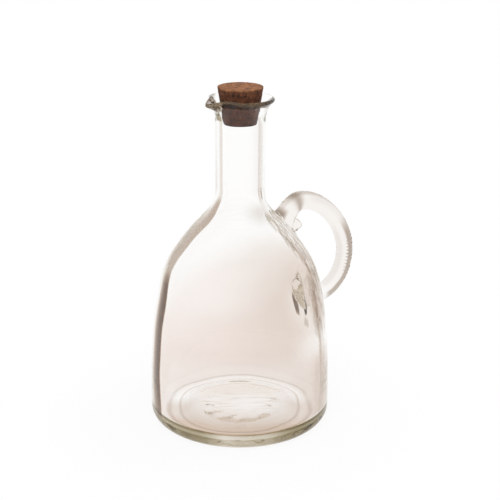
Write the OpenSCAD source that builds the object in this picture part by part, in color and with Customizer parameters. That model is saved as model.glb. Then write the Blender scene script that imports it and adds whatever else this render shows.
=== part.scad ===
// Hand-blown glass oil bottle: a bell-shaped vessel with a pulled pouring lip,
// an applied glass handle and a tapered cork stopper.
//
// Millimetres. The origin is the centre of the base on the table, +Z is up,
// the handle stands towards +X and the spout points towards -X.

/* [Body] */
// Outside diameter of the body just above its heel
body_d = 110; // [102:1:118]
// Radius of the rounded heel between foot and side
heel_r = 7.8; // [5:0.1:10]
// Height of the bend where the side turns into the shoulder
bend_z = 105.7; // [98:0.1:110]
// Outside diameter at that bend
bend_d = 81.6; // [76:0.1:88]
// Lean of the wall from upright at that bend, in degrees
bend_lean = 33.5; // [28:0.5:38]
// How long the side keeps upright before it leans in
side_sweep = 69.9; // [60:0.1:76]
// How long the shoulder keeps the lean of the bend
shoulder_sweep = 33.7; // [28:0.1:38]

/* [Neck] */
// Height at which the neck becomes straight
neck_z = 146.6; // [138:0.1:156]
// Outside diameter of the straight neck
neck_d = 29.2; // [28:0.1:31]
// Length of the neck from there to the crease under the lip
neck_l = 44; // [36:0.5:56]
// Inside diameter of the straight neck
bore_d = 22; // [20.5:0.1:22.2]

/* [Glass thickness] */
// Wall of the side
side_t = 3.8; // [3:0.1:5]
// Wall of the shoulder
shoulder_t = 3.4; // [2.8:0.1:4.5]
// Glass over the foot ring
floor_t = 4.2; // [3.5:0.1:6]

/* [Foot] */
// Width of the flat ring that the bottle stands on
foot_w = 8.6; // [6:0.1:10]
// Height of the hollow under the base
punt_h = 4; // [2.5:0.1:6]
// Diameter of the flat middle of that hollow, where the pontil was
pontil_d = 50; // [40:1:56]

/* [Lip and spout] */
// Outside diameter of the rim
lip_d = 40; // [38:0.2:43]
// Height of the lip above its crease
lip_h = 9.2; // [8:0.1:12]
// Thickness of the rim
lip_t = 2.5; // [2:0.1:3]
// Outside diameter of the neck at the crease
crease_d = 31; // [30.4:0.1:32.6]
// Inside diameter of the throat at the crease, where the cork seats
throat_d = 22.3; // [22.2:0.1:23]
// Height of the tapered throat below the crease
throat_h = 9; // [6:0.5:12]
// How far the spout reaches past the round rim
spout_out = 4; // [2:0.1:6]
// How far the tip of the spout hangs below the rim
spout_drop = 1.2; // [0:0.1:2]
// How far the rim is pinched in on either side of the spout
pinch_in = 2; // [0:0.1:2.5]

/* [Handle] */
// Diameter of the glass rod
rod_d = 10.8; // [8:0.1:13]
// Diameter of the rod at its upper root
root_d = 12.8; // [11:0.1:15]
// How far below the straight neck the upper root sits on the shoulder
root_drop = 27.6; // [23:0.1:32]
// How far the rod's centre line rises above its root
arch_rise = 11; // [8:0.5:16]
// Distance from the upper root out to the top of the arch
arch_lead = 14.3; // [11:0.1:18]
// How far the rod's centre line stands off the widest part of the body
grip_out = 27.5; // [22:0.5:34]
// Height of the outermost point of the rod
grip_z = 91.3; // [88:0.1:96]
// Height of the rod's centre line at its lowest
tail_z = 65.7; // [60:0.1:68]
// Distance from the lower seal out to that lowest point
tail_lead = 9; // [7:0.1:12]
// Height of the lower seal on the side
seal_z = 69.5; // [67:0.1:74]
// Length, width and thickness of the upper pad pressed onto the shoulder
root_pad = [36, 15, 6]; // [4:0.5:40]
// Length, width and thickness of the lower pad pressed onto the side
seal_pad = [24, 13, 5]; // [4:0.5:30]
// Diameter of the curled end of glass under the upper root
curl_d = 8.6; // [6:0.1:9]
// How far the lower seal pushed the inner wall in
dent_in = 2.2; // [1:0.1:3]

/* [Cork] */
// Diameter of the cork's top
cork_top_d = 27; // [25:0.1:30]
// Diameter of the cork's bottom
cork_bottom_d = 20.3; // [18:0.1:21.5]
// Height of the cork
cork_h = 22; // [19:0.1:27]
// Radius of the cork's worn edges
cork_edge = 0.7; // [0.3:0.1:1.2]
// Gap between the cork and the edge that it seats on
cork_gap = 0.05; // [0.02:0.01:0.2]

/* [Hidden] */
$fn = 96;
eps = 0.01;

body_r = body_d / 2;
neck_r = neck_d / 2;
bore_r = bore_d / 2;
throat_r = throat_d / 2;
crease_r = crease_d / 2;
crease_z = neck_z + neck_l;
rim_z = crease_z + lip_h;
foot_r = body_r - heel_r;          // outer edge of the flat foot ring
punt_r = foot_r - foot_w;          // inner edge of it, where the hollow starts
pontil_r = pontil_d / 2;
bend_sweep = 11.3;                 // length over which the bend takes up its lean
neck_sweep = 16.9;                 // length over which the neck takes up the upright
curve_steps = 14;
arc_steps = 6;

// ---------------------------------------------------------------- curves

// A point on the smooth curve from p0 to p3 that p1 and p2 pull on
function curve_at(p0, p1, p2, p3, t) =
    pow(1 - t, 3) * p0 + 3 * pow(1 - t, 2) * t * p1 + 3 * (1 - t) * t * t * p2 + pow(t, 3) * p3;
function curve(p0, p1, p2, p3, steps) =
    [for (i = [0:steps]) curve_at(p0, p1, p2, p3, i / steps)];
function arc(centre, r, from, to, steps) =
    [for (i = [0:steps]) let (a = from + (to - from) * i / steps) centre + r * [cos(a), sin(a)]];
function unit(v) = v / norm(v);
// Height of the smooth step that falls from h at r0 to nothing at r1
function step_down(r, r0, r1, h) = h * (1 + cos(180 * (r - r0) / (r1 - r0))) / 2;

// The side and shoulder from the heel at z0 to the straight neck, set in by the glass of the
// side and of the shoulder. The outside of the vessel is not set in.
function wall_curve(z0, t_side, t_shoulder, r_neck) =
    let (lean = [-sin(bend_lean), cos(bend_lean)],
         inward = [-cos(bend_lean), -sin(bend_lean)],
         start = [body_r - t_side, z0],
         bend = [bend_d / 2, bend_z] + inward * t_shoulder,
         end = [r_neck, neck_z],
         up = [0, 1],
         side = curve(start, start + up * (side_sweep - (z0 - heel_r)), bend - lean * bend_sweep, bend,
                      curve_steps),
         shoulder = curve(bend, bend + lean * shoulder_sweep, end - up * neck_sweep, end, curve_steps))
    concat(side, [for (i = [1:curve_steps]) shoulder[i]]);

outer_wall = wall_curve(heel_r, 0, 0, neck_r);
outer_by_height = [for (p = outer_wall) [p[1], p[0]]];

// Radius of the outside at a height, and the direction that the outside faces there
function outer_r(z) = lookup(z, outer_by_height);
function outer_facing(z) = unit([1, outer_r(z - 1) / 2 - outer_r(z + 1) / 2]);

// ---------------------------------------------------------------- vessel

punt_steps = 8;
inner_heel_r = heel_r - 1.5;
trough_r = body_r - side_t - inner_heel_r;    // outer edge of the low ring inside

// Outside of body and neck, filled, up to the crease under the lip
module outside() {
    flare = 5;                                // length over which the neck widens to its crease
    heel = arc([foot_r, heel_r], heel_r, -90, 0, arc_steps);
    top = curve([neck_r, crease_z - flare], [neck_r, crease_z - flare / 2], [neck_r, crease_z - 1],
                [crease_r, crease_z], arc_steps);
    rotate_extrude()
        polygon(concat([[0, 0]], heel, [for (i = [1:len(outer_wall) - 1]) outer_wall[i]], top,
                       [[0, crease_z]]));
}

// The hollow under the base
module punt() {
    rise = [for (i = [0:punt_steps]) let (r = pontil_r + (punt_r - pontil_r) * i / punt_steps)
        [r, step_down(r, pontil_r, punt_r, punt_h)]];
    rotate_extrude()
        polygon(concat([[0, -1], [0, punt_h]], rise, [[punt_r, -1]]));
}

// The inside of body and neck, with the floor raised over the punt
module hollow() {
    floor_line = [for (i = [0:punt_steps]) let (r = pontil_r + (punt_r - pontil_r) * i / punt_steps)
        [r, floor_t + step_down(r, pontil_r, punt_r, punt_h)]];
    heel = arc([trough_r, floor_t + inner_heel_r], inner_heel_r, -90, 0, arc_steps);
    wall = wall_curve(floor_t + inner_heel_r, side_t, shoulder_t, bore_r);
    rotate_extrude()
        polygon(concat([[0, floor_t + punt_h]], floor_line, heel,
                       [for (i = [1:len(wall) - 1]) wall[i]],
                       [[bore_r, crease_z - throat_h], [throat_r, crease_z],
                        [throat_r, rim_z], [0, rim_z]]));
}

// Where the lower seal pushed the soft wall in
module dent() {
    spread = seal_pad[0] / 2;
    ball_r = (spread * spread + dent_in * dent_in) / (2 * dent_in);
    translate([outer_r(seal_z) - side_t - dent_in + ball_r, 0, seal_z])
        sphere(r = ball_r);
}

// Half the cross-section of the lip: it rises out of the neck wall and rolls outwards.
// shift is how far the rim is moved there, outwards and upwards.
lip_steps = 6;
round_steps = 4;
lip_foot_t = crease_r - throat_r - 1.2;
lip_sunk = 2.2;                               // how deep the lip's foot is melted into the neck
function lip_section(shift) =
    let (foot = [(crease_r + throat_r) / 2, crease_z - lip_sunk],
         pull = [foot[0] + 0.4, rim_z - lip_h / 2],
         rim = [lip_d / 2 - lip_t / 2, rim_z - lip_t / 2],
         mid = function (t) pow(1 - t, 2) * foot + 2 * t * (1 - t) * pull + t * t * rim + t * t * shift,
         way = function (t) unit(mid(t + eps) - mid(t - eps)),
         half_t = function (t) lip_foot_t / 2 + (lip_t - lip_foot_t) / 2 * t,
         out = [for (i = [0:lip_steps]) let (t = i / lip_steps, d = way(t))
             mid(t) + [d[1], -d[0]] * half_t(t)],
         end_way = atan2(way(1)[1], way(1)[0]),
         round_over = [for (i = [1:round_steps - 1])
             mid(1) + lip_t / 2 * [cos(end_way - 90 + 180 * i / round_steps),
                                   sin(end_way - 90 + 180 * i / round_steps)]],
         back = [for (i = [lip_steps:-1:0]) let (t = i / lip_steps, d = way(t))
             mid(t) - [d[1], -d[0]] * half_t(t)])
    concat(out, round_over, back);

// How the rim is moved at an angle from the spout: out at its tip, pinched beside it
tip_spread = 13;
pinch_at = 34;
pinch_spread = 19;
ear_lift = 0.7;
function bump(a, spread) = exp(-pow(a / spread, 2));
function rim_shift(a) =
    let (tip = exp(-pow(abs(a) / tip_spread, 1.6)), side = bump(abs(a) - pinch_at, pinch_spread))
    [spout_out * tip - pinch_in * side * (1 - tip), ear_lift * side - spout_drop * tip];

// The lip with its spout, swept once round the neck
module lip() {
    turns = 90;
    ring = len(lip_section([0, 0]));
    points = [for (i = [0:turns - 1]) let (a = i * 360 / turns, from_spout = a > 180 ? a - 360 : a)
        for (p = lip_section(rim_shift(from_spout))) [-p[0] * cos(a), -p[0] * sin(a), p[1]]];
    faces = [for (i = [0:turns - 1]) for (k = [0:ring - 1])
        let (j = (i + 1) % turns, m = (k + 1) % ring,
             a = i * ring + k, b = i * ring + m, c = j * ring + m, d = j * ring + k)
        each [[a, b, c], [a, c, d]]];
    polyhedron(points, faces);
}

module vessel() {
    color([0.87, 0.86, 0.82, 0.45])
    union() {
        difference() {
            outside();
            punt();
            difference() {
                hollow();
                dent();
            }
        }
        lip();
    }
}

// ---------------------------------------------------------------- handle

rod_r = rod_d / 2;
root_r = root_d / 2;
root_z = neck_z - root_drop;
root = [outer_r(root_z), root_z];
root_way = outer_facing(root_z);
seal = [outer_r(seal_z), seal_z];
arch = root + [arch_lead, arch_rise];
grip = [body_r + grip_out, grip_z];
tail = [seal[0] + tail_lead, tail_z];
sunk = 5;                                      // how far the rod runs on before it is cut to the wall
seal_way = unit([-0.9, 0.45]);                 // the rod rises a little as it meets the side

rod_steps = 12;
rod_sides = 20;
// A stretch of the rod from p to q. It leaves p along X or Z and reaches q along the other,
// and keep says how long it holds each of the two ways, as shares of the stretch.
function quarter(p, q, first, keep) =
    let (span = q - p,
         way_p = first == "x" ? [span[0], 0] : [0, span[1]],
         way_q = first == "x" ? [0, span[1]] : [span[0], 0])
    curve(p, p + way_p * keep[0], q - way_q * keep[1], q, rod_steps);
rod_line = concat(
    curve(root - root_way * sunk, root + root_way * arch_lead * 0.35, arch - [arch_lead * 0.55, 0],
          arch, rod_steps),
    [for (i = [1:rod_steps]) quarter(arch, grip, "x", [0.46, 0.46])[i]],
    [for (i = [1:rod_steps]) quarter(grip, tail, "z", [0.62, 0.45])[i]],
    [for (i = [1:rod_steps / 2]) curve_at(tail, tail - [tail_lead / 3, 0], seal + seal_way * sunk / 5,
                                          seal + seal_way * sunk, i / (rod_steps / 2))]);
rod_last = len(rod_line) - 1;
// Radius of the rod along its length: stout at the root, a little wider again at the seal
function rod_r_at(i) = lookup(i / rod_last, [[0, root_r + 1.4], [0.12, root_r + 0.5], [0.24, root_r],
                                            [0.4, rod_r], [0.86, rod_r], [1, rod_r + 1.2]]);

module rod() {
    points = [for (i = [0:rod_last])
        let (along = unit(rod_line[min(i + 1, rod_last)] - rod_line[max(i - 1, 0)]), r = rod_r_at(i))
        for (k = [0:rod_sides - 1]) let (a = 360 * k / rod_sides)
            [rod_line[i][0] - along[1] * r * cos(a), r * sin(a), rod_line[i][1] + along[0] * r * cos(a)]];
    start = [for (k = [rod_sides - 1:-1:0]) k];
    end = [for (k = [0:rod_sides - 1]) rod_last * rod_sides + k];
    sides = [for (i = [0:rod_last - 1]) for (k = [0:rod_sides - 1])
        let (m = (k + 1) % rod_sides, a = i * rod_sides + k, b = i * rod_sides + m,
             c = b + rod_sides, d = a + rod_sides)
        each [[a, b, c], [a, c, d]]];
    polyhedron(points, concat([start, end], sides));
}

// A leaf of glass pressed flat on the wall at a height
module pad(size, z) {
    facing = outer_facing(z);
    translate([outer_r(z), 0, z])
        rotate([0, -atan2(facing[1], facing[0]), 0])
            resize([size[2], size[1], size[0]])
                sphere(d = size[1], $fn = 32);
}

// The curled end of the glass, folded back between the root and its pad
module curl() {
    melted = 1.4;                              // how deep it is melted into the root and the pad
    down_slope = [root_way[1], -root_way[0]];
    centre = root + root_way * (curl_d / 2 + melted) + down_slope * (root_r + curl_d / 2 - melted);
    translate([centre[0], 0, centre[1]])
        sphere(d = curl_d, $fn = 32);
}

module handle() {
    pad_drop = 5;                              // the upper pad runs down the slope from the root
    color([0.87, 0.87, 0.84, 0.6])
    difference() {
        union() {
            rod();
            pad(root_pad, root_z - pad_drop);
            pad(seal_pad, seal_z);
            curl();
        }
        outside();
    }
}

// ---------------------------------------------------------------- cork

cork_top_r = cork_top_d / 2;
cork_bottom_r = cork_bottom_d / 2;
cork_slope = (cork_top_r - cork_bottom_r) / cork_h;
// The cork sinks until its side meets the edge of the throat
cork_z = crease_z - (throat_r - cork_gap - cork_bottom_r) / cork_slope;

module cork() {
    lean = atan(cork_slope);
    color([0.62, 0.44, 0.33])
    translate([0, 0, cork_z])
        rotate_extrude()
            polygon(concat([[0, 0]],
                           arc([cork_bottom_r - cork_edge, cork_edge], cork_edge, -90, -lean, arc_steps),
                           arc([cork_top_r - cork_edge, cork_h - cork_edge], cork_edge, -lean, 90,
                               arc_steps),
                           [[0, cork_h]]));
}

vessel();
handle();
cork();
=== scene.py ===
import math

import bmesh
import bpy
import numpy as np
from bpy.props import FloatProperty, FloatVectorProperty, IntProperty, PointerProperty
from mathutils import Matrix, Vector


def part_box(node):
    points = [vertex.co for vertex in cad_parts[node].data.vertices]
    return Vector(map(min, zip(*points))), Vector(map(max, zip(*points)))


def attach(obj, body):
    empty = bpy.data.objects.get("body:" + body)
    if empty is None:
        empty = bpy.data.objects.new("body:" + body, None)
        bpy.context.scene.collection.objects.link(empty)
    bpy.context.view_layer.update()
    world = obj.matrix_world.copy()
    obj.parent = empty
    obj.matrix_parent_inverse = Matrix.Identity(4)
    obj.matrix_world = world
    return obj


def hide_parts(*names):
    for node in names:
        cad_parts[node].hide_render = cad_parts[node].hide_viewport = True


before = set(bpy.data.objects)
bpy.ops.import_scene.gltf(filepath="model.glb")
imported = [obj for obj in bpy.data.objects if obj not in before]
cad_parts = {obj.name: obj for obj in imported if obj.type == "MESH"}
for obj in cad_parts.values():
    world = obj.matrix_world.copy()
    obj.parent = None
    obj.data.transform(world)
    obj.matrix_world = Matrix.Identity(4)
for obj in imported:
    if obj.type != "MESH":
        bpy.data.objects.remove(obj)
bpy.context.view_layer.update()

bl_info = {
    "name": "Glass oil bottle",
    "version": (1, 0, 0),
    "blender": (4, 5, 0),
    "location": "3D View > Sidebar > Oil bottle",
    "description": "Builds a hand-blown glass oil bottle with its handle, its cork and a pale stage",
    "category": "Object",
}

MM = 0.001
# The ripples on the grip: where along the rod they are, from 0 to 1, how far they spread, their pace
GRIP_SHARE, GRIP_SPREAD, RIPPLE_PACE = 0.64, 0.08, 330.0


def length(name, description, millimetres):
    """A size property, which Blender keeps in metres."""
    return FloatProperty(name=name, description=description, default=millimetres * MM, unit="LENGTH",
                         precision=5)


def lengths(name, description, *millimetres):
    """Three sizes in one property."""
    return FloatVectorProperty(name=name, description=description, unit="LENGTH", precision=5,
                               default=[size * MM for size in millimetres])


def angle(name, description, degrees):
    """An angle property, which Blender keeps in radians."""
    return FloatProperty(name=name, description=description, default=math.radians(degrees),
                         subtype="ANGLE")


def colour(name, description, default):
    """A colour property in linear RGB."""
    return FloatVectorProperty(name=name, description=description, default=default, size=3,
                               subtype="COLOR", min=0.0, max=1.0)


# ------------------------------------------------------------------ sizes and colours


class VesselSizes(bpy.types.PropertyGroup):
    """Sizes of the blown vessel"""

    body_d: length("Body diameter", "Outside diameter of the body above its heel", 110)
    heel_r: length("Heel radius", "Radius of the rounded heel between foot and side", 7.8)
    bend_z: length("Bend height", "Height where the side turns into the shoulder", 105.7)
    bend_d: length("Bend diameter", "Outside diameter at that bend", 81.6)
    bend_lean: angle("Bend lean", "Lean of the wall from upright at the bend", 33.5)
    side_sweep: length("Side sweep", "How long the side keeps upright before it leans in", 69.9)
    shoulder_sweep: length("Shoulder sweep", "How long the shoulder keeps the lean of the bend",
                           33.7)
    neck_z: length("Neck height", "Height at which the neck becomes straight", 146.6)
    neck_d: length("Neck diameter", "Outside diameter of the straight neck", 29.2)
    neck_l: length("Neck length", "Length of the neck up to the crease under the lip", 44)
    bore_d: length("Bore", "Inside diameter of the straight neck", 22)
    side_t: length("Side wall", "Thickness of the side", 4.2)
    shoulder_t: length("Shoulder wall", "Thickness of the shoulder", 3.8)
    floor_t: length("Floor", "Glass over the foot ring", 4.8)
    foot_w: length("Foot ring", "Width of the ring that the bottle stands on", 8.6)
    punt_h: length("Punt", "Height of the hollow under the base", 4)
    pontil_d: length("Pontil", "Diameter of the middle of that hollow", 50)
    swell: length("Wall swell", "How much thicker the wall is where the side starts to lean in", 1.3)
    thin: length("Wall thinning", "How much thinner the wall is low on the side", 0.4)
    wave: length("Wall wave", "How far the inner wall wanders round the bottle", 0.15)
    crizzle: length("Pontil marks", "Depth of the tool marks under the base", 0.5)


class LipSizes(bpy.types.PropertyGroup):
    """Sizes of the lip and its pulled spout"""

    lip_d: length("Rim diameter", "Outside diameter of the rim", 40)
    lip_h: length("Lip height", "Height of the lip above its crease", 9.2)
    lip_t: length("Rim thickness", "Thickness of the rim", 2.5)
    crease_d: length("Crease diameter", "Outside diameter of the neck at the crease", 31)
    throat_d: length("Throat", "Inside diameter of the throat at the crease", 22.3)
    throat_h: length("Throat height", "Height of the tapered throat below the crease", 9)
    spout_out: length("Spout reach", "How far the spout reaches past the round rim", 4)
    spout_drop: length("Spout drop", "How far its tip hangs below the rim", 1.2)
    pinch_in: length("Pinch", "How far the rim is pinched in beside the spout", 2)


class HandleSizes(bpy.types.PropertyGroup):
    """Sizes of the applied glass handle"""

    rod_d: length("Rod", "Diameter of the glass rod", 10.8)
    root_d: length("Root", "Diameter of the rod at its upper root", 12.8)
    root_drop: length("Root drop", "How far below the straight neck the root sits", 27.6)
    arch_rise: length("Arch rise", "How far the rod rises above its root", 11)
    arch_lead: length("Arch lead", "Distance from the root out to the top of the arch", 14.3)
    grip_out: length("Grip", "How far the rod stands off the widest part of the body", 27.5)
    grip_z: length("Grip height", "Height of the outermost point of the rod", 91.3)
    tail_z: length("Tail height", "Height of the rod at its lowest", 65.7)
    tail_lead: length("Tail lead", "Distance from the lower seal out to that point", 9)
    seal_z: length("Seal height", "Height of the lower seal on the side", 69.5)
    root_pad: lengths("Upper pad", "Length, width and height of the pad", 36, 15, 3)
    seal_pad: lengths("Lower pad", "Length, width and height of the pad", 24, 13, 2.5)
    curl_d: length("Curl", "Diameter of the curled end of glass under the root", 8.6)
    dent_in: length("Dent", "How far the lower seal pushed the inner wall in", 2.2)
    ripple: length("Ripple", "Depth of the chatter marks on the outside of the grip", 0.35)
    crease: length("Crease", "Depth of the fold across the rod above its root", 0.3)


class CorkSizes(bpy.types.PropertyGroup):
    """Sizes and colours of the cork"""

    pit: length("Pits", "Depth of the pits between the granules", 0.25)
    granule: length("Granules", "Size of the granules that the cork is pressed from", 1.6)
    top: colour("Top", "Colour of the top", (0.315, 0.138, 0.063))
    # Side and Pressed side are painted shade: the side darker than the top, and darker still low down
    side: colour("Side", "Colour of the side", (0.155, 0.059, 0.03))
    low_side_shade: colour("Pressed side", "Colour of the side where the throat presses it", (0.115, 0.03, 0.009))
    dark: colour("Dark grains", "Colour of the dark grains of bark", (0.05, 0.022, 0.013))


class GlassLook(bpy.types.PropertyGroup):
    """Colours of the glass"""

    clear: colour("Clear", "Tint of the neck and the top of the shoulder", (1.0, 1.0, 1.0))
    # Pale side and Warm side are painted shade: the warm backdrop seen through the body
    pale: colour("Pale side", "Tint of the body away from the handle", (0.978, 0.932, 0.915))
    warm: colour("Warm side", "Tint of the body towards the handle", (0.875, 0.82, 0.78))
    heel: colour("Heel", "Tint of the thick glass round the foot", (0.29, 0.25, 0.145))
    middle: colour("Middle of the floor", "Tint of the floor of the hollow", (0.9, 0.83, 0.75))
    # Front of the floor is painted shade: the floor darker and browner towards the front
    floor: colour("Front of the floor", "Tint of that floor towards the front", (0.52, 0.37, 0.26))
    rod: colour("Handle", "Tint of the handle", (0.95, 0.92, 0.9))
    # Streaks is also the colour of painted shade in the handle, the lip and the neck
    streak: colour("Streaks", "Tint of the streaks in the handle and its pads", (0.26, 0.2, 0.155))
    # Edge is the colour of painted shade: the dark band near the outline of the glass and the rings on its
    # floor
    edge: colour("Edge", "Tint where light can't get out of the wall", (0.14, 0.078, 0.045))
    depth: colour("Depth", "Colour that thick glass absorbs towards", (0.64, 0.57, 0.4))
    warm_way: angle("Warm way", "Way round the bottle to its warm side", -36)
    density: FloatProperty(name="Absorption", description="Share absorbed in each metre of glass",
                           default=6.0, min=0.0)
    ior: FloatProperty(name="Refraction", description="Index of refraction", default=1.5, min=1.0)


class StageLook(bpy.types.PropertyGroup):
    """The camera and the lights"""

    lens: FloatProperty(name="Lens", description="Focal length", default=85.28 * MM, unit="CAMERA",
                        subtype="DISTANCE_CAMERA", precision=4)
    azimuth: angle("Azimuth", "Way round the bottle that the camera stands", -36)
    pitch: angle("Pitch", "How far the camera looks down", 18.786)
    roll: angle("Roll", "How far the camera is turned about its view", 0.30)
    distance: length("Distance", "Distance from the bottle's axis to the camera", 674.5)
    height: length("Height", "Height of the camera", 336.2)
    side_step: length("Side step", "How far the camera stands to the right of the axis", 6.0)
    floor: colour("Floor", "Colour of the floor", (0.86, 0.86, 0.86))
    bounces: IntProperty(name="Bounces", description="How often light may turn inside the glass",
                         default=64, min=4)
    world: FloatProperty(name="Sky light", description="Strength of the light from all around",
                         default=0.62, min=0.0)


class BottleSettings(bpy.types.PropertyGroup):
    """Everything that a user would change"""

    vessel: PointerProperty(type=VesselSizes)
    lip: PointerProperty(type=LipSizes)
    handle: PointerProperty(type=HandleSizes)
    cork: PointerProperty(type=CorkSizes)
    glass: PointerProperty(type=GlassLook)
    stage: PointerProperty(type=StageLook)


# ------------------------------------------------------------------ nodes


class Wire:
    """An output socket of a node tree. Arithmetic on it adds Math nodes."""

    def __init__(self, tree, socket=None):
        self.tree = tree
        self.socket = socket

    def node(self, kind, settings=None, values=None, out=0):
        """Adds a node: its settings come first, then the values or links of its sockets."""
        made = self.tree.nodes.new(kind)
        for name, value in (settings or {}).items():
            setattr(made, name, value)
        for key, value in (values or {}).items():
            if isinstance(value, Wire):
                self.tree.links.new(value.socket, made.inputs[key])
            else:
                made.inputs[key].default_value = value
        return Wire(self.tree, made.outputs[out])

    def other(self, name):
        """Another output of the same node."""
        return Wire(self.tree, self.socket.node.outputs[name])

    def end(self, kind, **inputs):
        """Ends the tree in an output node that these wires go into."""
        made = self.tree.nodes.new(kind)
        for name, wire in inputs.items():
            self.tree.links.new(wire.socket, made.inputs[name])

    def math(self, operation, *values):
        return self.node("ShaderNodeMath", {"operation": operation}, dict(enumerate(values)))

    def function(self, operation):
        """A Math node of one value, such as SINE."""
        return self.math(operation, self)

    def __add__(self, other):
        return self.math("ADD", self, other)

    def __sub__(self, other):
        return self.math("SUBTRACT", self, other)

    def __rsub__(self, other):
        return self.math("SUBTRACT", other, self)

    def __mul__(self, other):
        return self.math("MULTIPLY", self, other)

    def __truediv__(self, other):
        return self.math("DIVIDE", self, other)

    __radd__ = __add__
    __rmul__ = __mul__

    def step(self, low, high):
        """0 below low and 1 above high, with a smooth rise between."""
        return self.node("ShaderNodeMapRange", {"interpolation_type": "SMOOTHSTEP"},
                         {"Value": self, "From Min": low, "From Max": high})

    def fall(self, low, high):
        """1 below low and 0 above high, with a smooth fall between."""
        return 1 - self.step(low, high)

    def bump(self, centre, width):
        """A smooth hump of height 1 at centre that fades out over width."""
        away = (self - centre) / width
        return (away * away * -1).function("EXPONENT")

    def split(self):
        """The three parts of this vector."""
        parts = self.node("ShaderNodeSeparateXYZ", {}, {"Vector": self})
        return parts, parts.other("Y"), parts.other("Z")

    def vector(self, x, y, z=0.0):
        return self.node("ShaderNodeCombineXYZ", {}, {"X": x, "Y": y, "Z": z})

    def scaled(self, factor):
        return self.node("ShaderNodeVectorMath", {"operation": "SCALE"}, {0: self, "Scale": factor})

    def noise(self, scale, detail, **more):
        """Soft noise at this place. A scale with three parts stretches it."""
        place = self
        if isinstance(scale, tuple):
            place = self.node("ShaderNodeMapping", {}, {"Vector": self, "Scale": scale})
            scale = 1.0
        return self.node("ShaderNodeTexNoise", {}, {"Vector": place, "Scale": scale, "Detail": detail,
                                                    **more})

    def mix(self, start, end):
        """The colour that goes from start to end as this value goes from 0 to 1."""
        sockets = [wire_or_colour(start), wire_or_colour(end)]
        return self.node("ShaderNodeMix", {"data_type": "RGBA"},
                         {0: self, 6: sockets[0], 7: sockets[1]}, out=2)

    def stain(self, tint, colour):
        """The tint seen through this much glass of a colour, where 1 is the colour itself."""
        seen = self.node("ShaderNodeGamma", {}, {"Color": wire_or_colour(colour), "Gamma": self})
        return self.node("ShaderNodeMix", {"data_type": "RGBA", "blend_type": "MULTIPLY"},
                         {0: 1.0, 6: tint, 7: seen}, out=2)


def wire_or_colour(value):
    return value if isinstance(value, Wire) else (*value, 1.0)


# ------------------------------------------------------------------ curves and lattices


def curve(p0, p1, p2, p3, steps):
    """Points on the smooth curve from p0 to p3 that p1 and p2 pull on."""
    t = np.linspace(0, 1, steps + 1)[:, None]
    p0, p1, p2, p3 = (np.asarray(p, float) for p in (p0, p1, p2, p3))
    return (1 - t) ** 3 * p0 + 3 * (1 - t) ** 2 * t * p1 + 3 * (1 - t) * t * t * p2 + t ** 3 * p3


def arc(centre, r, start, end, steps):
    a = np.radians(np.linspace(start, end, steps + 1))
    return np.asarray(centre) + r * np.stack([np.cos(a), np.sin(a)], -1)


def straight(p, q, steps):
    t = np.linspace(0, 1, steps + 1)[:, None]
    return (1 - t) * np.asarray(p, float) + t * np.asarray(q, float)


def eased(line, chosen, rounds):
    """The line with its chosen points drawn towards their neighbours."""
    line = line.copy()
    for _ in range(rounds):
        pull = (line[:-2] + line[2:]) / 2 - line[1:-1]
        line[1:-1] += 0.5 * pull * chosen[1:-1, None]
    return line


def unit(v):
    v = np.asarray(v, float)
    return v / np.linalg.norm(v, axis=-1, keepdims=True)


def hump(x, width):
    return np.exp(-(x / width) ** 2)


def oval(x, y, half_x, half_y):
    """1 inside an oval, with a soft edge."""
    return 1 - smooth_step(np.hypot(x / half_x, y / half_y), 0.7, 1.05)


def smooth_step(x, low, high):
    t = np.clip((x - low) / (high - low), 0, 1)
    return t * t * (3 - 2 * t)


def from_handle(turn):
    """Turn from the handle, which stands at +X, from -pi to pi."""
    return (turn + np.pi) % (2 * np.pi) - np.pi


def from_spout(turn):
    """Turn from the spout, which stands at -X, in degrees from -180 to 180."""
    return np.degrees(from_handle(turn - np.pi))


def turns_round(count, fine_span, fine_share):
    """Turns round the axis, closer together near the handle: fine_share of them within fine_span."""
    fine = int(count * fine_share)
    near = np.linspace(-fine_span, fine_span, fine, endpoint=False)
    far = np.linspace(fine_span, 2 * np.pi - fine_span, count - fine, endpoint=False)
    return np.concatenate([near, far])


def shown(name, data):
    """A new object in the scene."""
    made = bpy.data.objects.new(name, data)
    bpy.context.scene.collection.objects.link(made)
    return made


def mesh_object(name, points, faces):
    mesh = bpy.data.meshes.new(name)
    mesh.from_pydata([tuple(p) for p in points], [], faces)
    mesh.validate()
    return shown(name, mesh)


def lathe(name, grid, turns):
    """A closed skin. grid[turn, row] holds radius and height, and its first and last row lie on the axis."""
    count, rows = grid.shape[:2]

    def at(row, turn):
        return 1 + (row - 1) * count + turn % count

    ways = np.stack([np.cos(turns), np.sin(turns)], -1)
    points = [(0, 0, grid[0, 0, 1])]
    for row in range(1, rows - 1):
        points += [(*(r * way), z) for (r, z), way in zip(grid[:, row], ways)]
    points.append((0, 0, grid[0, -1, 1]))
    last = len(points) - 1
    faces = [(0, at(1, j + 1), at(1, j)) for j in range(count)]
    for i in range(1, rows - 2):
        faces += [(at(i, j), at(i, j + 1), at(i + 1, j + 1), at(i + 1, j)) for j in range(count)]
    faces += [(at(rows - 2, j), at(rows - 2, j + 1), last) for j in range(count)]
    return mesh_object(name, points, faces)


# ------------------------------------------------------------------ vessel


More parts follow.
